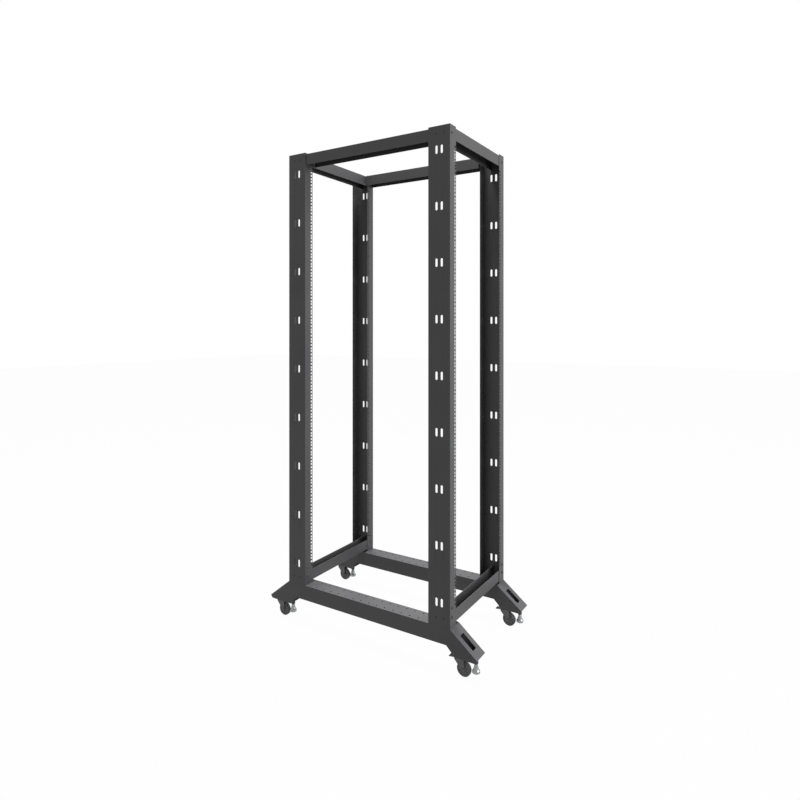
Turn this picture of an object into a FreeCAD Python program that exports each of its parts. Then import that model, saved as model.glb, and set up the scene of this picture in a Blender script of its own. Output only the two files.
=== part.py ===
"""Four post open frame rack, 42 units high, on castors and levelling feet.

Millimetres. X runs across the 19 inch width, Y along the depth with the front at -Y, and Z is up
from the floor. The origin lies on the floor under the middle of the rack.
"""
import FreeCAD, Part
import math
import os
import re
import Sketcher

# Driving sizes. Each is written once, and everything else is worked out from them.
SIZES = {
    "rack_width": 555,          # over the outer faces of the posts
    "rack_depth": 858,          # over the outer faces of the posts
    "post_length": 2020,
    "post_web": 100,            # side face of a post, along the depth
    "post_sheet": 2,
    "rail_opening": 450,        # clear width between the flanges
    "rail_centres": 465.1,      # between the two columns of square holes
    "rack_units": 42,
    "unit_height": 44.45,
    "square_hole": 9.5,
    "first_hole": 6.35,         # centre of a unit's first hole above the unit's lower edge
    "hole_step": 15.875,
    "slot_pairs": 9,
    "slot_width": 10,
    "slot_length": 34,
    "slot_spread": 24,          # between the two slots of a pair
    "slot_margin": 96,          # first pair's centre from the end of the post
    "bar_height": 50,
    "bar_depth": 64,
    "bar_sheet": 2,
    "bar_drop": 6,              # top bars below the ends of the posts
    "side_bar_inset": 4,
    "sill_height": 50,
    "sill_depth": 50,
    "sill_rise": 10,            # bottom bars above the base beams
    "beam_width": 76,
    "beam_height": 68,
    "beam_sheet": 2.5,
    "beam_hole": 7,
    "beam_hole_pitch": 42,
    "beam_hole_margin": 16,     # rows of holes from the edges of a beam
    "beam_hole_count": 14,
    "foot_reach": 118,
    "foot_drop": 38,
    "front_heel": 20,           # inner end of a front foot's underside, ahead of the post
    "rear_heel": -10,           # the same at the rear, where it starts under the post
    "heel_run": 38,             # length along which the underside drops to the foot
    "toe_height": 13,
    "window_start": 42,         # along the slope, from its upper edge
    "window_length": 72,
    "window_width": 28,
    "ground_gap": 84,           # underside of the feet above the floor
    "foot_plate": 3,
    "leveller_setback": 22,     # front levelling foot from the tip of its foot
    "castor_setback": 44,       # rear swivel axis from the tip of its foot
    "foot_spacing": 66,         # swivel axis to levelling foot
    "wheel_radius": 30,
    "wheel_width": 20,
    "tread_round": 4,
    "hub_radius": 11,
    "hub_recess": 3,
    "hub_round": 2,
    "axle_radius": 4,
    "axle_overhang": 2,         # axle beyond each ear of the fork
    "castor_trail": 14,
    "race_radius": 19,
    "race_height": 6,
    "kingpin_radius": 4,
    "kingpin_head": 7,
    "fork_sheet": 2.5,
    "ear_lead": 17,             # ears ahead of the swivel axis
    "ear_front": 14,            # height of the ears' front edge
    "ear_margin": 5,            # ears beyond the pedal hinge, and round the axle
    "ear_shoulder": 9,          # half width of an ear at the height of the axle
    "ear_drop": 7,              # ears below the axle
    "side_gap": 1,              # wheel or pedal to a fork ear
    "running_gap": 0.3,
    "pedal_arm": 20,            # pedal hinge behind the swivel axis
    "pedal_neck": 8,
    "pedal_reach": 50,
    "pedal_width": 22,
    "pedal_sheet": 3,
    "pedal_droop": 2.5,
    "hinge_drop": 5,            # pedal hinge below the fork's crown
    "barrel_wall": 1.5,
    "hinge_radius": 2,
    "pad_radius": 15.5,
    "pad_height": 16,
    "pad_rim": 3,
    "pad_lift": 30,             # levelling pad above the floor, wound up
    "stud_radius": 5,
    "stud_length": 72,
    "nut_radius": 9,
    "nut_height": 18,           # below the foot plate, so that the stud stays in it at the floor
}

# Sizes worked out from the driving ones, as formulas.
DERIVED = {
    "flange_width": "(rack_width - rail_opening) / 2",
    "half_width": "rack_width / 2",
    "half_depth": "rack_depth / 2",
    "beam_bottom": "ground_gap + foot_drop",
    "post_bottom": "beam_bottom + beam_height",
    "post_top": "post_bottom + post_length",
    "beam_centre": "half_width - beam_width / 2",
    "hole_inset": "(rack_width - rail_centres) / 2",
    "unit_margin": "(post_length - rack_units * unit_height) / 2",
    "slot_span": "post_length - 2 * slot_margin",
    "slope_fall": "beam_height + foot_drop - toe_height",
    "slope_length": "sqrt(foot_reach ^ 2 + slope_fall ^ 2)",
    "toe": "foot_reach - slope_fall * toe_height / foot_reach",
    "front_leveller": "-(half_depth + foot_reach - leveller_setback)",
    "front_castor": "front_leveller + foot_spacing",
    "rear_castor": "half_depth + foot_reach - castor_setback",
    "rear_leveller": "rear_castor - foot_spacing",
    "crown_top": "ground_gap - race_height - running_gap",
    "crown_bottom": "crown_top - fork_sheet",
    "fork_gap": "wheel_width + 2 * side_gap",
    "fork_width": "fork_gap + 2 * fork_sheet",
    "pedal_height": "crown_bottom - hinge_drop",
}

HOLES_PER_UNIT = 3

doc = FreeCAD.newDocument("Rack")
sheet = doc.addObject("Spreadsheet::Sheet", "Sizes")
for row, (alias, size) in enumerate(SIZES.items(), start=1):
    sheet.set(f"A{row}", alias)
    sheet.set(f"B{row}", str(size))
    sheet.setAlias(f"B{row}", alias)
doc.recompute()


def formula(text):
    """Turn size names into references to the sheet."""
    def look_up(match):
        word = match.group()
        if word in SIZES:
            return f"Sizes.{word}"
        if word in DERIVED:
            return f"({formula(DERIVED[word])})"
        return word
    return re.sub(r"[a-z_]+", look_up, text)


def value(text):
    return float(sheet.evalExpression(formula(text)))


def bind(thing, **texts):
    for key, text in texts.items():
        thing.setExpression(key, formula(text))


def place(thing, x="0", y="0", z="0"):
    for axis, text in zip("xyz", (x, y, z)):
        thing.setExpression(f"Placement.Base.{axis}", formula(text))


def new_body(label, x="0", y="0", z="0"):
    body = doc.addObject("PartDesign::Body", label)
    body.Label = label
    place(body, x, y, z)
    return body


def new_sketch(body, role, name):
    sketch = body.newObject("Sketcher::SketchObject", name)
    plane = next(part for part in body.Origin.OriginFeatures if part.Role == role)
    sketch.AttachmentSupport = [(plane, "")]
    sketch.MapMode = "FlatFace"
    return sketch


def pin_point(sketch, edge, end, x, y):
    """Hold one point of an edge at x, y from the sketch's origin."""
    for kind, text in (("DistanceX", x), ("DistanceY", y)):
        number = sketch.addConstraint(Sketcher.Constraint(kind, -1, 1, edge, end, value(text)))
        sketch.setExpression(f"Constraints[{number}]", formula(text))


def outline(sketch, points):
    """A closed run of straight edges through points given as pairs of formulas."""
    first = sketch.GeometryCount
    count = len(points)
    corners = [FreeCAD.Vector(value(x), value(y), 0) for x, y in points]
    for index in range(count):
        sketch.addGeometry(Part.LineSegment(corners[index], corners[(index + 1) % count]), False)
    for index in range(count):
        follower = first + (index + 1) % count
        sketch.addConstraint(Sketcher.Constraint("Coincident", first + index, 2, follower, 1))
    for index, (x, y) in enumerate(points):
        pin_point(sketch, first + index, 1, x, y)


def rectangle(sketch, x, y, width, height):
    """A rectangle about the centre x, y."""
    left, right = f"{x} - ({width}) / 2", f"{x} + ({width}) / 2"
    low, high = f"{y} - ({height}) / 2", f"{y} + ({height}) / 2"
    outline(sketch, [(left, low), (right, low), (right, high), (left, high)])


def circle(sketch, x, y, radius):
    centre = FreeCAD.Vector(value(x), value(y), 0)
    edge = sketch.addGeometry(Part.Circle(centre, FreeCAD.Vector(0, 0, 1), value(radius)), False)
    pin_point(sketch, edge, 3, x, y)
    number = sketch.addConstraint(Sketcher.Constraint("Radius", edge, value(radius)))
    sketch.setExpression(f"Constraints[{number}]", formula(radius))


def upright_slot(sketch, x, y, width, length):
    """An obround slot about the centre x, y, with its long way up."""
    radius, reach = value(width) / 2, (value(length) - value(width)) / 2
    middle = FreeCAD.Vector(value(x), value(y), 0)
    rise, side, axis = FreeCAD.Vector(0, reach, 0), FreeCAD.Vector(radius, 0, 0), FreeCAD.Vector(0, 0, 1)
    top = sketch.addGeometry(Part.ArcOfCircle(Part.Circle(middle + rise, axis, radius), 0, math.pi), False)
    left = sketch.addGeometry(Part.LineSegment(middle + rise - side, middle - rise - side), False)
    low = sketch.addGeometry(
        Part.ArcOfCircle(Part.Circle(middle - rise, axis, radius), math.pi, 2 * math.pi), False)
    right = sketch.addGeometry(Part.LineSegment(middle - rise + side, middle + rise + side), False)
    for before, after in ((top, left), (left, low), (low, right), (right, top)):
        sketch.addConstraint(Sketcher.Constraint("Tangent", before, 2, after, 1))
    sketch.addConstraint(Sketcher.Constraint("Vertical", left))
    pin_point(sketch, top, 3, x, f"{y} + ({length} - {width}) / 2")
    pin_point(sketch, low, 3, x, f"{y} - ({length} - {width}) / 2")
    number = sketch.addConstraint(Sketcher.Constraint("Radius", top, radius))
    sketch.setExpression(f"Constraints[{number}]", formula(f"({width}) / 2"))


def extrude(body, kind, sketch, length, symmetric=False, reverse=False):
    feature = body.newObject(f"PartDesign::{kind}", f"{sketch.Name}_{kind}")
    feature.Profile = sketch
    feature.SideType = "Symmetric" if symmetric else "One side"
    feature.Reversed = reverse
    bind(feature, Length=length)
    return feature


def turn(body, sketch, axis_role):
    feature = body.newObject("PartDesign::Revolution", f"{sketch.Name}_turned")
    feature.Profile = sketch
    axis = next(part for part in body.Origin.OriginFeatures if part.Role == axis_role)
    feature.ReferenceAxis = (axis, [""])
    feature.Angle = 360
    return feature


def repeat(body, feature, axis_role, span, count):
    pattern = body.newObject("PartDesign::LinearPattern", f"{feature.Name}_row")
    pattern.Originals = [feature]
    axis = next(part for part in body.Origin.OriginFeatures if part.Role == axis_role)
    pattern.Direction = (axis, [""])
    bind(pattern, Length=span, Occurrences=count)
    body.Tip = pattern
    return pattern


def channel(label, role, width, height, sheet_size, length, reverse, up, **origin):
    """A straight U-shaped channel, open upward or downward, with its corner at the origin."""
    body = new_body(label, **origin)
    section = new_sketch(body, role, f"{label}_section")
    closed, mouth = ("0", height) if up else (height, "0")
    inner = sheet_size if up else f"{height} - {sheet_size}"
    outline(section, [
        ("0", closed), ("0", mouth), (sheet_size, mouth), (sheet_size, inner),
        (f"{width} - {sheet_size}", inner), (f"{width} - {sheet_size}", mouth),
        (width, mouth), (width, closed),
    ])
    extrude(body, "Pad", section, length, reverse=reverse)
    return body


def post(label, side, y):
    """A C-shaped post. side is 1 with its web on the left of the rack, and -1 on the right."""
    body = new_body(label, x=f"-{side} * half_width", y=y, z="post_bottom")
    section = new_sketch(body, "XY_Plane", f"{label}_section")
    reach, skin = f"{side} * flange_width", f"{side} * post_sheet"
    outline(section, [
        ("0", "0"), (reach, "0"), (reach, "post_sheet"), (skin, "post_sheet"),
        (skin, "post_web - post_sheet"), (reach, "post_web - post_sheet"),
        (reach, "post_web"), ("0", "post_web"),
    ])
    extrude(body, "Pad", section, "post_length")

    slots = new_sketch(body, "YZ_Plane", f"{label}_slots")
    for sign in ("-", "+"):
        upright_slot(slots, f"post_web / 2 {sign} slot_spread / 2", "slot_margin",
                     "slot_width", "slot_length")
    pocket = extrude(body, "Pocket", slots, "2 * post_sheet", reverse=side > 0)
    repeat(body, pocket, "Z_Axis", "slot_span", "slot_pairs")

    holes = new_sketch(body, "XZ_Plane", f"{label}_unit")
    for step in range(HOLES_PER_UNIT):
        rectangle(holes, f"{side} * hole_inset", f"unit_margin + first_hole + {step} * hole_step",
                  "square_hole", "square_hole")
    pocket = extrude(body, "Pocket", holes, "2 * post_sheet")
    repeat(body, pocket, "Z_Axis", "(rack_units - 1) * unit_height", "rack_units")
    return body


def cross_bars():
    """Four channels open downward round the top, and two open upward low down."""
    inside = "rack_width - 2 * post_sheet"
    top = "post_top - bar_drop - bar_height"
    left = "-half_width + post_sheet"
    rows = (("front", "-half_depth + post_sheet"), ("rear", "half_depth - post_web + post_sheet"))
    for name, y in rows:
        channel(f"top_bar_{name}", "YZ_Plane", "bar_depth", "bar_height", "bar_sheet", inside,
                reverse=False, up=False, x=left, y=y, z=top)
        channel(f"bottom_bar_{name}", "YZ_Plane", "sill_depth", "sill_height", "bar_sheet", inside,
                reverse=False, up=True, x=left, y=y, z="post_bottom + sill_rise")
    between = "rack_depth - 2 * post_web"
    for name, x in (("left", "-half_width + side_bar_inset"),
                    ("right", "half_width - side_bar_inset - bar_depth")):
        channel(f"top_bar_{name}", "XZ_Plane", "bar_depth", "bar_height", "bar_sheet", between,
                reverse=True, up=False, x=x, y="-half_depth + post_web", z=top)


def base_beam(label, side):
    """An upside-down channel along the depth whose ends splay down into two feet."""
    body = new_body(label, x=f"{side} * beam_centre", z="beam_bottom")
    shape = new_sketch(body, "YZ_Plane", f"{label}_side")
    toe_z = "-foot_drop + toe_height"
    ends = []
    for end, heel in (("-1", "front_heel"), ("1", "rear_heel")):
        ends.append([(f"{end} * half_depth", "beam_height"), (f"{end} * (half_depth + foot_reach)", toe_z),
                     (f"{end} * (half_depth + toe)", "-foot_drop"),
                     (f"{end} * (half_depth + {heel})", "-foot_drop"),
                     (f"{end} * (half_depth + {heel} - heel_run)", "0")])
    outline(shape, ends[0] + ends[1][::-1])
    extrude(body, "Pad", shape, "beam_width", symmetric=True)

    hollow = new_sketch(body, "YZ_Plane", f"{label}_hollow")
    toe_y = "foot_reach - beam_sheet * (foot_reach + slope_fall) / slope_length"
    low_z = f"{toe_z} + beam_sheet * (slope_fall - foot_reach) / slope_length"
    mouth_y = f"{toe_y} - slope_fall / foot_reach * (foot_drop + {low_z})"
    shift = "beam_sheet * (foot_reach - slope_length) / slope_fall"
    front = [(f"-(half_depth + {shift})", "beam_height - beam_sheet"),
             (f"-(half_depth + {toe_y})", low_z),
             (f"-(half_depth + {mouth_y})", "-foot_drop"),
             (f"-(half_depth + {mouth_y})", "-foot_drop - beam_sheet")]
    rear = [(y[1:], z) for y, z in reversed(front)]
    outline(hollow, front + rear)
    extrude(body, "Pocket", hollow, "beam_width - 2 * beam_sheet", symmetric=True)

    windows = new_sketch(body, "YZ_Plane", f"{label}_windows")
    for sign in ("-", "+"):
        corners = []
        for along, out in (("window_start", "1"), ("(window_start + window_length)", "1"),
                           ("(window_start + window_length)", "-2"), ("window_start", "-2")):
            y = f"{along} * foot_reach / slope_length + {out} * beam_sheet * slope_fall / slope_length"
            z = f"-{along} * slope_fall / slope_length + {out} * beam_sheet * foot_reach / slope_length"
            corners.append((f"{sign}1 * (half_depth + {y})", f"beam_height {z}"))
        outline(windows, corners)
    extrude(body, "Pocket", windows, "window_width", symmetric=True)

    holes = new_sketch(body, "XY_Plane", f"{label}_holes")
    first_y = "-(beam_hole_count - 1) * beam_hole_pitch / 2"
    for sign in ("-", "+"):
        circle(holes, f"{sign}1 * (beam_width / 2 - beam_hole_margin)", first_y, "beam_hole / 2")
    pocket = extrude(body, "Pocket", holes, "2 * beam_height", reverse=True)
    repeat(body, pocket, "Y_Axis", "(beam_hole_count - 1) * beam_hole_pitch", "beam_hole_count")
    return body


def foot_plate(label, side, end, heel, leveller):
    """Closes the underside of a foot and carries its castor and its levelling foot."""
    body = new_body(label, x=f"{side} * beam_centre", z="ground_gap")
    plate = new_sketch(body, "XY_Plane", f"{label}_plate")
    low, high = f"half_depth + {heel}", "half_depth + toe - 2 * beam_sheet"
    rectangle(plate, "0", f"{end} * (({low}) + ({high})) / 2", "beam_width - 2 * beam_sheet",
              f"{high} - ({low})")
    extrude(body, "Pad", plate, "foot_plate")
    boss = new_sketch(body, "XY_Plane", f"{label}_nut")
    circle(boss, "0", leveller, "nut_radius")
    extrude(body, "Pad", boss, "nut_height", reverse=True)
    bore = new_sketch(body, "XY_Plane", f"{label}_bore")
    circle(bore, "0", leveller, "stud_radius + running_gap")
    extrude(body, "Pocket", bore, "2 * (foot_plate + nut_height)", symmetric=True)
    return body


def castor_mount(label, x, y):
    """The fixed race under the foot, with the kingpin that holds the fork."""
    body = new_body(label, x=x, y=y)
    section = new_sketch(body, "XZ_Plane", f"{label}_section")
    head_top = "crown_bottom - running_gap"
    outline(section, [
        ("0", "ground_gap"), ("race_radius", "ground_gap"), ("race_radius", "crown_top + running_gap"),
        ("kingpin_radius", "crown_top + running_gap"), ("kingpin_radius", head_top),
        ("kingpin_head", head_top), ("kingpin_head", f"{head_top} - foot_plate"),
        ("0", f"{head_top} - foot_plate"),
    ])
    turn(body, section, "Z_Axis")
    return body


def castor_fork(label, x, y, has_pedal):
    """A folded fork with its axle. The wheel trails towards the front."""
    body = new_body(label, x=x, y=y)
    ears = new_sketch(body, "YZ_Plane", f"{label}_ears")
    outline(ears, [
        ("-ear_lead", "crown_top"), ("pedal_arm + ear_margin", "crown_top"),
        ("pedal_arm + ear_margin", "pedal_height - ear_margin"),
        ("ear_shoulder - castor_trail", "wheel_radius"),
        ("ear_margin - castor_trail", "wheel_radius - ear_drop"),
        ("-ear_margin - castor_trail", "wheel_radius - ear_drop"),
        ("-ear_shoulder - castor_trail", "wheel_radius"), ("-ear_lead", "crown_top - ear_front"),
    ])
    extrude(body, "Pad", ears, "fork_width", symmetric=True)
    gap = new_sketch(body, "YZ_Plane", f"{label}_gap")
    outline(gap, [
        ("-wheel_radius", "crown_bottom"), ("pedal_reach", "crown_bottom"),
        ("pedal_reach", "0"), ("-wheel_radius", "0"),
    ])
    extrude(body, "Pocket", gap, "fork_gap", symmetric=True)
    eye = new_sketch(body, "XY_Plane", f"{label}_eye")
    circle(eye, "0", "0", "kingpin_radius + running_gap")
    extrude(body, "Pocket", eye, "2 * ground_gap", reverse=True)
    if has_pedal:
        hinge = new_sketch(body, "YZ_Plane", f"{label}_hinge")
        circle(hinge, "pedal_arm", "pedal_height", "hinge_radius + running_gap")
        extrude(body, "Pocket", hinge, "2 * fork_width", symmetric=True)
    axle = new_sketch(body, "YZ_Plane", f"{label}_axle")
    circle(axle, "-castor_trail", "wheel_radius", "axle_radius")
    extrude(body, "Pad", axle, "fork_width + 2 * axle_overhang", symmetric=True)
    return body


def castor_wheel(label, x, y):
    """A moulded wheel with a rounded tread and a recessed web each side."""
    body = new_body(label, x=x, y=f"{y} - castor_trail", z="wheel_radius")
    section = new_sketch(body, "XY_Plane", f"{label}_section")
    half = "wheel_width / 2"
    right = [
        (half, "axle_radius + running_gap"), (half, "hub_radius - hub_round"),
        (f"{half} - hub_recess", "hub_radius"), (f"{half} - hub_recess", "wheel_radius - 2 * tread_round"),
        (half, "wheel_radius - 1.5 * tread_round"), (half, "wheel_radius - tread_round"),
        (f"{half} - tread_round", "wheel_radius"),
    ]
    left = [(f"-({x_text})", r_text) for x_text, r_text in reversed(right)]
    outline(section, right + left)
    turn(body, section, "X_Axis")
    return body


def brake_pedal(label, x, y):
    """A short pedal hinged between the fork's ears over the wheel."""
    body = new_body(label, x=x, y=f"{y} + pedal_arm", z="pedal_height")
    barrel = new_sketch(body, "YZ_Plane", f"{label}_barrel")
    circle(barrel, "0", "0", "hinge_radius + barrel_wall")
    extrude(body, "Pad", barrel, "wheel_width", symmetric=True)
    pins = new_sketch(body, "YZ_Plane", f"{label}_pins")
    circle(pins, "0", "0", "hinge_radius")
    extrude(body, "Pad", pins, "fork_width", symmetric=True)
    arm = new_sketch(body, "YZ_Plane", f"{label}_arm")
    rectangle(arm, "pedal_neck / 2", "0", "pedal_neck", "pedal_sheet")
    extrude(body, "Pad", arm, "wheel_width - 2 * side_gap", symmetric=True)
    pad = new_sketch(body, "YZ_Plane", f"{label}_pad")
    outline(pad, [
        ("pedal_neck - side_gap", "-pedal_sheet / 2"),
        ("pedal_reach - pedal_arm", "-pedal_sheet / 2 - pedal_droop"),
        ("pedal_reach - pedal_arm", "pedal_sheet / 2 - pedal_droop"),
        ("pedal_neck - side_gap", "pedal_sheet / 2"),
    ])
    extrude(body, "Pad", pad, "pedal_width", symmetric=True)
    return body


def levelling_foot(label, x, y):
    """A threaded stud, plain here, with a bell-shaped pad."""
    body = new_body(label, x=x, y=y, z="pad_lift")
    section = new_sketch(body, "XZ_Plane", f"{label}_section")
    outline(section, [
        ("0", "0"), ("pad_radius", "0"), ("pad_radius", "pad_rim"), ("pad_radius - pad_rim", "2 * pad_rim"),
        ("stud_radius + pad_rim", "pad_height - pad_rim"), ("stud_radius + pad_rim / 2", "pad_height"),
        ("stud_radius", "pad_height"), ("stud_radius", "stud_length"), ("0", "stud_length"),
    ])
    turn(body, section, "Z_Axis")
    return body


SIDES = (("left", 1), ("right", -1))
for side_name, side in SIDES:
    post(f"post_front_{side_name}", side, "-half_depth")
    post(f"post_rear_{side_name}", side, "half_depth - post_web")
    base_beam(f"base_beam_{side_name}", -side)
cross_bars()
ENDS = (("front", -1, "front_heel", "front_castor", "front_leveller"),
        ("rear", 1, "rear_heel", "rear_castor", "rear_leveller"))
for side_name, side in SIDES:
    foot_x = f"{-side} * beam_centre"
    for end_name, end, heel, castor_y, leveller_y in ENDS:
        place_name = f"{end_name}_{side_name}"
        foot_plate(f"foot_plate_{place_name}", -side, end, heel, leveller_y)
        castor_mount(f"castor_mount_{place_name}", foot_x, castor_y)
        castor_fork(f"castor_fork_{place_name}", foot_x, castor_y, end_name == "front")
        castor_wheel(f"castor_wheel_{place_name}", foot_x, castor_y)
        levelling_foot(f"levelling_foot_{place_name}", foot_x, leveller_y)
        if end_name == "front":
            brake_pedal(f"brake_pedal_{place_name}", foot_x, castor_y)

doc.recompute()
for thing in doc.Objects:
    if "Invalid" in thing.State or "Error" in thing.State:
        raise RuntimeError(f"{thing.Name} failed: {thing.State}")

os.makedirs("parts", exist_ok=True)
for body in doc.Objects:
    if body.TypeId != "PartDesign::Body":
        continue
    if body.Shape.isNull() or not body.Shape.isValid():
        raise RuntimeError(f"{body.Label} has no valid shape")
    body.Shape.exportStep(f"parts/{body.Label}.step")
    print(body.Label, len(body.Shape.Solids), round(body.Shape.Volume))
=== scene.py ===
"""Looks of a four post open frame rack: finishes, bolts, castors and levelling feet."""
import math

import bpy
from mathutils import Matrix, Vector


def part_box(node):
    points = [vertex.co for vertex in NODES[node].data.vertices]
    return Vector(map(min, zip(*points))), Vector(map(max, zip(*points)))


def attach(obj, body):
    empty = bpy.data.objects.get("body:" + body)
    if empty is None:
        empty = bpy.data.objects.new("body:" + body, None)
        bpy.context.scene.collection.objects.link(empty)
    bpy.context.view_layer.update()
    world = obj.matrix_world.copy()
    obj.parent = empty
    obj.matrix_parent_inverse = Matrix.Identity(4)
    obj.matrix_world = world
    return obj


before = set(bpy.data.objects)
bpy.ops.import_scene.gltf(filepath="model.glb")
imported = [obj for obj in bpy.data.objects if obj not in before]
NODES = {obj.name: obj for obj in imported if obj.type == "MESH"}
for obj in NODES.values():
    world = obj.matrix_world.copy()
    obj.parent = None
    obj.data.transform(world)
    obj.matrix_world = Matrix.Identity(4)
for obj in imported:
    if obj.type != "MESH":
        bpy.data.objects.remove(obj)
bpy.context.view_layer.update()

MM = 0.001
CORNERS = [f"{end}_{side}" for end in ("front", "rear") for side in ("left", "right")]
RIBS = 8                # in each side of a wheel

# Millimetres.
AXLE_OVERHANG = 2       # axle beyond each ear of a fork
HUB_RECESS = 3          # from a wheel's side to its web
PAD_RADIUS = 15.8       # of a levelling foot's skirt, just over the solid pad
THREAD_RADIUS = 5.35
THREAD_PITCH = 1.5
THREAD_LENGTH = 33
THREAD_START = 37       # above the underside of the pad
FLUSH_LIFT = 0.1        # of a flush screw over the sheet
SCREW_PLACES = (29, 65)         # from a post's front edge
SCREW_DROP = 31                 # below the top of a post
SCREW_RISE = 34                 # above the foot of a post
BOLT_INSET = 19                 # from a post's web
BOLT_RISES = (41, 79)           # above the foot of a post
BOLT_DROP = 31                  # below the top of a post
EDGE_ROUND = 0.4                # on folded sheet and castings
WELD_DISTANCE = 0.01


# ---------------------------------------------------------------- materials

def colour(hex_text):
    """An sRGB hex colour as the linear values that shaders take."""
    values = [int(hex_text[i:i + 2], 16) / 255 for i in (1, 3, 5)]
    linear = [v / 12.92 if v <= 0.04045 else ((v + 0.055) / 1.055) ** 2.4 for v in values]
    return (*linear, 1.0)


def add_node(material, kind, settings=None, links=None):
    """One shader node with its settings and its incoming links."""
    tree = material.node_tree
    node = tree.nodes.new(kind)
    for key, setting in (settings or {}).items():
        if key in node.inputs:
            node.inputs[key].default_value = setting
        else:
            setattr(node, key, setting)
    for key, source in (links or {}).items():
        tree.links.new(source, node.inputs[key])
    return node


def new_material(name, base, roughness, metallic=0.0, ior=1.5):
    """A plain surface to add patterns to: returns the material and its shader."""
    material = bpy.data.materials.new(name)
    material.use_nodes = True
    shader = material.node_tree.nodes["Principled BSDF"]
    shader.inputs["Base Color"].default_value = colour(base)
    shader.inputs["Roughness"].default_value = roughness
    shader.inputs["Metallic"].default_value = metallic
    shader.inputs["IOR"].default_value = ior
    return material, shader


def grain(material, shader, size_mm, height_mm, low, high, spread_mm):
    """A fine bump of the given grain size, with a slight change of colour between low and high."""
    place = add_node(material, "ShaderNodeTexCoord")
    fine = add_node(material, "ShaderNodeTexNoise",
                    {"Scale": 1 / (size_mm * MM), "Detail": 2.0},
                    {"Vector": place.outputs["Object"]})
    bump = add_node(material, "ShaderNodeBump", {"Distance": height_mm * MM, "Strength": 0.6},
                    {"Height": fine.outputs["Fac"]})
    broad = add_node(material, "ShaderNodeTexNoise",
                     {"Scale": 1 / (spread_mm * MM), "Detail": 3.0},
                     {"Vector": place.outputs["Object"]})
    ramp = add_node(material, "ShaderNodeValToRGB", None, {"Fac": broad.outputs["Fac"]})
    for stop, position, shade in zip(ramp.color_ramp.elements, (0.3, 0.7), (low, high)):
        stop.position = position
        stop.color = colour(shade)
    material.node_tree.links.new(bump.outputs["Normal"], shader.inputs["Normal"])
    material.node_tree.links.new(ramp.outputs["Color"], shader.inputs["Base Color"])


def powder_coat():
    """Polyester powder coat, baked on sheet steel: a fine orange peel and a soft sheen."""
    material, shader = new_material("powder coated steel", "#3A3A3B", 0.5, ior=1.4)
    grain(material, shader, size_mm=1.6, height_mm=0.06,
          low="#38383A", high="#3D3D3E", spread_mm=180)
    return material


def dark_plated_steel():
    """Pressed steel with a dark electrocoat: smoother than powder coat, with a faint sheen."""
    material, shader = new_material("electrocoated pressed steel", "#5A5A5C", 0.42, metallic=0.3)
    grain(material, shader, size_mm=0.8, height_mm=0.02,
          low="#545456", high="#606062", spread_mm=20)
    return material


def wheel_rubber():
    """Moulded thermoplastic rubber: dark grey, dry and matt."""
    material, shader = new_material("moulded grey rubber", "#626263", 0.72)
    grain(material, shader, size_mm=0.9, height_mm=0.04,
          low="#5C5C5D", high="#69696A", spread_mm=14)
    return material


def wheel_core():
    """Injection moulded polypropylene: a little smoother and lighter than the tread."""
    material, shader = new_material("moulded polypropylene", "#767677", 0.5)
    grain(material, shader, size_mm=0.7, height_mm=0.02,
          low="#707071", high="#7D7D7E", spread_mm=16)
    return material


def pedal_nylon():
    """Glass filled nylon: nearly black, with a spark-eroded texture."""
    material, shader = new_material("black glass filled nylon", "#1C1C1D", 0.55)
    grain(material, shader, size_mm=0.7, height_mm=0.05,
          low="#19191A", high="#202021", spread_mm=12)
    return material


def bright_zinc():
    """Electroplated zinc over turned steel: bright, with faint turning marks."""
    material, shader = new_material("bright zinc plated steel", "#909294", 0.3, metallic=1.0)
    grain(material, shader, size_mm=0.6, height_mm=0.01,
          low="#86888B", high="#9A9C9E", spread_mm=9)
    return material


def black_oxide_steel():
    """Screws with a black oxide finish: darker than the sheet round them, and dry."""
    material, shader = new_material("black oxide steel", "#19191A", 0.6, ior=1.4)
    grain(material, shader, size_mm=0.5, height_mm=0.01,
          low="#161617", high="#1E1E1F", spread_mm=7)
    return material


COAT = powder_coat()
DARK_STEEL = dark_plated_steel()
BLACK_STEEL = black_oxide_steel()
RUBBER = wheel_rubber()
CORE = wheel_core()
NYLON = pedal_nylon()
ZINC = bright_zinc()


def finish_for(node_name):
    if "wheel" in node_name:
        return RUBBER
    if "fork" in node_name or "mount" in node_name:
        return DARK_STEEL
    if "pedal" in node_name:
        return NYLON
    if "levelling" in node_name:
        return ZINC
    return COAT


def dress_frame():
    """Give every solid its finish, and the folded sheet its softly rounded edges."""
    for name, thing in NODES.items():
        thing.data.materials.clear()
        thing.data.materials.append(finish_for(name))
        weld = thing.modifiers.new("joined faces", "WELD")
        weld.merge_threshold = WELD_DISTANCE * MM
        if "levelling" in name or "mount" in name:
            continue
        edge = thing.modifiers.new("soft edges", "BEVEL")
        edge.width = EDGE_ROUND * MM
        edge.segments = 2
        edge.limit_method = "ANGLE"
        edge.angle_limit = math.radians(40)


# ---------------------------------------------------------------- modelling

def start(add, **settings):
    """Add one primitive with nothing else selected, and return it."""
    if bpy.context.object and bpy.context.object.mode != "OBJECT":
        bpy.ops.object.mode_set(mode="OBJECT")
    bpy.ops.object.select_all(action="DESELECT")
    add(**settings)
    return bpy.context.object


def pick_faces(piece, test):
    """Select the faces whose centre and normal pass the test, ready for an edit operator."""
    bpy.ops.object.mode_set(mode="OBJECT")
    for vertex in piece.data.vertices:
        vertex.select = False
    for edge in piece.data.edges:
        edge.select = False
    for face in piece.data.polygons:
        face.select = test(face.center, face.normal)
    bpy.ops.object.mode_set(mode="EDIT")
    bpy.ops.mesh.select_mode(type="FACE")


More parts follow.
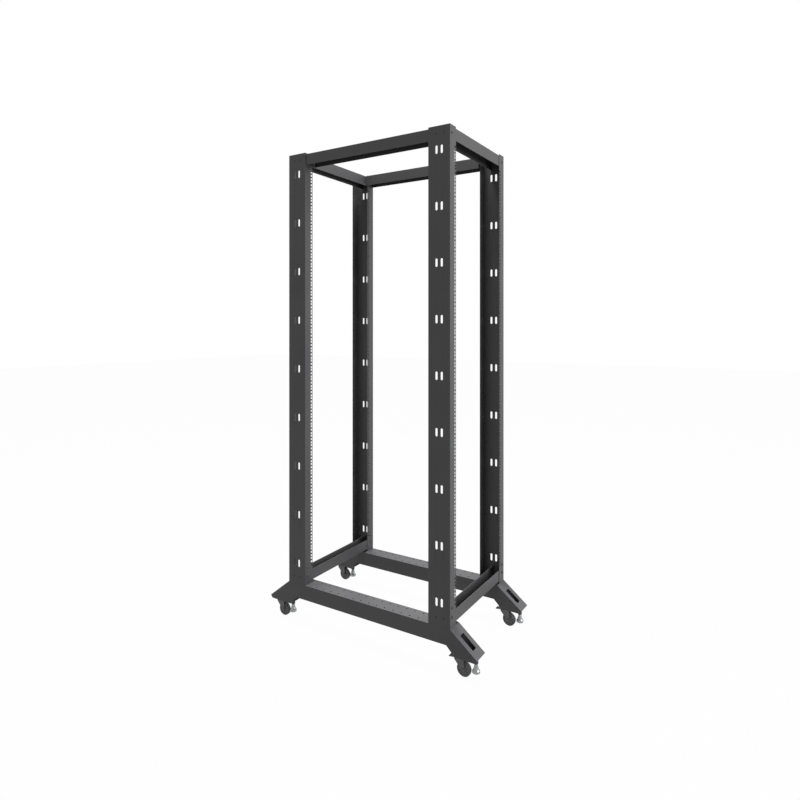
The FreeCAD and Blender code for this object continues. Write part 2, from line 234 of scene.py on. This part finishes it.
def inset(thickness, depth=0.0):
    bpy.ops.mesh.inset(thickness=thickness * MM, depth=depth * MM)


def soften(piece, width, segments=2, angle=35):
    """Round the edges of a piece by width millimetres and apply it."""
    bpy.ops.object.mode_set(mode="OBJECT")
    edge = piece.modifiers.new("soft edges", "BEVEL")
    edge.width = width * MM
    edge.segments = segments
    edge.limit_method = "ANGLE"
    edge.angle_limit = math.radians(angle)
    bpy.ops.object.modifier_apply(modifier=edge.name)
    bpy.ops.object.shade_smooth_by_angle(angle=math.radians(35))


def cylinder(radius, low, high, sides=32):
    """A cylinder about Z between two heights, in millimetres."""
    return start(bpy.ops.mesh.primitive_cylinder_add, vertices=sides, radius=radius * MM,
                 depth=(high - low) * MM, location=(0, 0, (high + low) / 2 * MM))


def join(pieces):
    bpy.ops.object.select_all(action="DESELECT")
    for piece in pieces:
        piece.select_set(True)
    bpy.context.view_layer.objects.active = pieces[0]
    if len(pieces) > 1:
        bpy.ops.object.join()
    bpy.ops.object.transform_apply(location=True, rotation=True, scale=True)
    return bpy.context.object


def top_face(height):
    return lambda centre, normal: normal.z > 0.9 and centre.z > (height - 0.5) * MM


def make_bolt():
    """A flanged button-head bolt, 11 mm across, with a hexagon socket."""
    head = cylinder(5.0, 0, 3.2, 28)
    pick_faces(head, top_face(3.2))
    inset(1.6, 0.6)
    bpy.ops.object.mode_set(mode="OBJECT")
    soften(head, 0.5)
    socket = cylinder(1.9, 3.75, 3.95, 6)
    washer = cylinder(6.6, 0, 0.9, 32)
    soften(washer, 0.25)
    return join([head, washer, socket])


def make_flush_screw():
    """A countersunk screw, 10 mm across, whose head lies level with the sheet round a socket."""
    head = cylinder(5.0, -1.6, FLUSH_LIFT, 36)
    pick_faces(head, top_face(FLUSH_LIFT))
    inset(2.6)
    inset(0.2, -1.0)
    bpy.ops.object.mode_set(mode="OBJECT")
    soften(head, 0.12)
    bpy.ops.object.transform_apply(location=True, rotation=True, scale=True)
    return head


def make_nut(across, height, bore):
    """A chamfered hexagon nut with an open bore."""
    nut = start(bpy.ops.mesh.primitive_cylinder_add, vertices=6, radius=across / math.sqrt(3) * MM,
                depth=height * MM, location=(0, 0, height / 2 * MM))
    pick_faces(nut, lambda centre, normal: abs(normal.z) > 0.9)
    inset((across / 2 - bore) * 0.5)
    inset((across / 2 - bore) * 0.45)
    bpy.ops.mesh.bridge_edge_loops()
    bpy.ops.object.mode_set(mode="OBJECT")
    soften(nut, 0.5)
    return nut


def make_thread(radius, pitch, length):
    """A stack of V-shaped rings that reads as a screw thread."""
    ring = cylinder(radius - 0.55, 0, pitch, 28)
    pick_faces(ring, lambda centre, normal: abs(normal.z) < 0.5)
    bpy.ops.mesh.subdivide(number_cuts=1)
    bpy.ops.object.mode_set(mode="OBJECT")
    bpy.ops.object.transform_apply(location=True)
    for vertex in ring.data.vertices:
        flat = Vector((vertex.co.x, vertex.co.y, 0))
        if abs(vertex.co.z - pitch / 2 * MM) < 0.05 * MM and flat.length > 0.5 * radius * MM:
            flat = flat.normalized() * radius * MM
            vertex.co.x, vertex.co.y = flat.x, flat.y
    rows = ring.modifiers.new("turns", "ARRAY")
    rows.count = int(length / pitch)
    rows.use_relative_offset = False
    rows.use_constant_offset = True
    rows.constant_offset_displace = (0, 0, pitch * MM)
    bpy.ops.object.modifier_apply(modifier=rows.name)
    return ring


def facing(normal):
    """A turn that takes +Z to the given direction."""
    return Vector((0, 0, 1)).rotation_difference(Vector(normal)).to_matrix().to_4x4()


def copies(model, name, places, material, body):
    """One joined mesh of a model's copies at (position, direction) pairs, riding on a body."""
    made = []
    for position, normal in places:
        copy = model.copy()
        copy.data = model.data.copy()
        bpy.context.collection.objects.link(copy)
        copy.data.transform(Matrix.Translation(Vector(position)) @ facing(normal))
        made.append(copy)
    piece = join(made)
    piece.name = name
    piece.data.name = name
    piece.data.materials.clear()
    piece.data.materials.append(material)
    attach(piece, body)
    return piece


def remove(model):
    bpy.data.objects.remove(model, do_unlink=True)


# ---------------------------------------------------------------- the rack's small parts

def frame_bolts():
    """Button-head bolts on the front flanges, and flush screws on the side faces of the posts."""
    bolt = make_bolt()
    screw = make_flush_screw()
    bolts, screws = [], []
    for corner in CORNERS:
        low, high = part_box(f"post_{corner}")
        side = 1 if corner.endswith("right") else -1
        web_x = high.x if side > 0 else low.x
        for along in SCREW_PLACES:
            for height in (high.z - SCREW_DROP * MM, low.z + SCREW_RISE * MM):
                screws.append(((web_x, low.y + along * MM, height), (side, 0, 0)))
        flange_x = web_x - side * BOLT_INSET * MM
        heights = [low.z + rise * MM for rise in BOLT_RISES] + [high.z - BOLT_DROP * MM]
        for height in heights:
            bolts.append(((flange_x, low.y, height), (0, -1, 0)))
    copies(bolt, "flange_bolts", bolts, COAT, "frame")
    copies(screw, "side_screws", screws, BLACK_STEEL, "frame")
    remove(bolt)
    remove(screw)


def make_rib():
    """One moulded rib of a wheel's web, standing on z = 0 and reaching out along X."""
    rib = start(bpy.ops.mesh.primitive_cube_add, size=1, location=(16.5 * MM, 0, 1.1 * MM))
    rib.scale = (11.6 * MM, 2.4 * MM, 2.2 * MM)
    bpy.ops.object.transform_apply(location=True, scale=True)
    pick_faces(rib, lambda centre, normal: normal.x > 0.9)
    bpy.ops.transform.resize(value=(1, 1.7, 1))
    bpy.ops.object.mode_set(mode="OBJECT")
    soften(rib, 0.4)
    return rib


def make_web_ribs():
    """The ribs of one side of a wheel, standing on z = 0 round the axle."""
    rib = make_rib()
    ribs = []
    for number in range(RIBS):
        copy = rib.copy()
        copy.data = rib.data.copy()
        bpy.context.collection.objects.link(copy)
        copy.data.transform(Matrix.Rotation(2 * math.pi * number / RIBS, 4, "Z"))
        ribs.append(copy)
    remove(rib)
    return join(ribs)


def castor_details():
    """Axle nuts on each fork, and moulded ribs in the web of each wheel."""
    axle_nut = make_nut(12, 4.5, 3.9)
    web_ribs = make_web_ribs()
    for corner in CORNERS:
        low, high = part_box(f"castor_fork_{corner}")
        wheel_low, wheel_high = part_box(f"castor_wheel_{corner}")
        middle = (wheel_low + wheel_high) / 2
        ear = (high.x - low.x) / 2 - AXLE_OVERHANG * MM
        nuts = [((middle.x + way * ear, middle.y, middle.z), (way, 0, 0)) for way in (-1, 1)]
        copies(axle_nut, f"axle_nuts_{corner}", nuts, DARK_STEEL, f"fork_{corner}")
        web = (wheel_high.x - wheel_low.x) / 2 - HUB_RECESS * MM
        sides = [((middle.x + way * web, middle.y, middle.z), (way, 0, 0)) for way in (-1, 1)]
        copies(web_ribs, f"wheel_ribs_{corner}", sides, CORE, f"wheel_{corner}")
    remove(axle_nut)
    remove(web_ribs)


def make_bell():
    """The pressed skirt of a levelling foot: a wide rim, a waist and a cone up to the stud."""
    bell = cylinder(PAD_RADIUS, 0, 4, 48)
    for rise, ratio in ((5, 0.97), (4, 0.78), (5, 0.86), (9, 0.78), (7, 0.80)):
        pick_faces(bell, lambda centre, normal: normal.z > 0.9 and centre.z > 0)
        bpy.ops.mesh.extrude_region_move(TRANSFORM_OT_translate={"value": (0, 0, rise * MM)})
        bpy.ops.transform.resize(value=(ratio, ratio, 1))
        bpy.ops.object.mode_set(mode="OBJECT")
    soften(bell, 0.8, segments=3, angle=15)
    return bell


def leveller_details():
    """The skirt and the thread of each levelling foot."""
    bell = make_bell()
    thread = make_thread(THREAD_RADIUS, THREAD_PITCH, THREAD_LENGTH)
    upright = (0, 0, 1)
    for corner in CORNERS:
        low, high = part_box(f"levelling_foot_{corner}")
        x, y = (low.x + high.x) / 2, (low.y + high.y) / 2
        body = f"leveller_{corner}"
        foot = [((x, y, low.z), upright)]
        copies(bell, f"foot_skirt_{corner}", foot, ZINC, body)
        stud = [((x, y, low.z + THREAD_START * MM), upright)]
        copies(thread, f"stud_thread_{corner}", stud, ZINC, body)
    remove(bell)
    remove(thread)


# ---------------------------------------------------------------- floor, light and camera

def seen_as_background(owner):
    """1 for the rays that show what lies behind: from the camera, off metal and through glass."""
    path = add_node(owner, "ShaderNodeLightPath")
    seen = add_node(owner, "ShaderNodeMath", {"operation": "ADD", "use_clamp": True},
                    {0: path.outputs["Is Camera Ray"], 1: path.outputs["Is Glossy Ray"]})
    any_of = add_node(owner, "ShaderNodeMath", {"operation": "ADD", "use_clamp": True},
                      {0: seen.outputs["Value"], 1: path.outputs["Is Transmission Ray"]})
    return any_of.outputs["Value"]


WHITE_SHARE = 0.98      # of the floor's look from the camera, the rest being its shaded paint
FLOOR_SIZE = 40         # metres
FLOOR_DROP = 0.0005     # metres below the wheels


def backdrop_material():
    """A pale floor that the camera sees as white, with the rack's soft shadow kept on it."""
    material = bpy.data.materials.new("pale painted floor")
    material.use_nodes = True
    material.node_tree.nodes.clear()
    matt = add_node(material, "ShaderNodeBsdfDiffuse", {"Color": colour("#7A7A7A")})
    white = add_node(material, "ShaderNodeEmission", {"Color": colour("#FFFFFF"), "Strength": 1.0})
    share = add_node(material, "ShaderNodeMath", {"operation": "MULTIPLY"},
                     {0: seen_as_background(material)})
    share.inputs[1].default_value = WHITE_SHARE
    mixed = add_node(material, "ShaderNodeMixShader", None,
                     {0: share.outputs["Value"], 1: matt.outputs["BSDF"],
                      2: white.outputs["Emission"]})
    add_node(material, "ShaderNodeOutputMaterial", None, {"Surface": mixed.outputs["Shader"]})
    return material


def surroundings():
    floor = start(bpy.ops.mesh.primitive_plane_add, size=FLOOR_SIZE,
                  location=(0, 0, -FLOOR_DROP))
    floor.name = "floor"
    floor.data.materials.append(backdrop_material())
    bpy.ops.object.transform_apply(location=True)

    world = bpy.data.worlds.new("pale room")
    bpy.context.scene.world = world
    world.use_nodes = True
    world.node_tree.nodes.clear()
    room = add_node(world, "ShaderNodeBackground", {"Color": colour("#FFFFFF"), "Strength": 0.5})
    white = add_node(world, "ShaderNodeBackground", {"Color": colour("#FFFFFF"), "Strength": 1.0})
    mixed = add_node(world, "ShaderNodeMixShader", None,
                     {0: seen_as_background(world), 1: room.outputs["Background"],
                      2: white.outputs["Background"]})
    add_node(world, "ShaderNodeOutputWorld", None, {"Surface": mixed.outputs["Shader"]})


def lamp(name, position, target, size, power):
    """A square softbox: places and size in metres, power in watts."""
    data = bpy.data.lights.new(name, "AREA")
    data.shape = "SQUARE"
    data.size = size
    data.energy = power
    light = bpy.data.objects.new(name, data)
    bpy.context.collection.objects.link(light)
    light.location = position
    light.rotation_euler = (Vector(target) - Vector(position)).to_track_quat("-Z", "Y").to_euler()


def camera():
    """Level camera off the front left corner, at the height of a person's chest."""
    data = bpy.data.cameras.new("camera")
    data.sensor_width = 36
    data.lens = 26.82
    data.shift_y = -0.0922
    view = bpy.data.objects.new("camera", data)
    bpy.context.collection.objects.link(view)
    view.location = (-2.3966, -1.5239, 1.400)
    view.rotation_euler = (math.radians(90), 0, math.radians(32.128 - 90))
    bpy.context.scene.camera = view


dress_frame()
frame_bolts()
castor_details()
leveller_details()
surroundings()
lamp("front softbox", (0.8, -4.5, 2.2), (0, 0, 0.9), 3.0, 248)
lamp("top softbox", (0, 0.1, 6.0), (0, 0, 1), 1.3, 1040)
camera()
bpy.context.scene.view_settings.view_transform = "Standard"
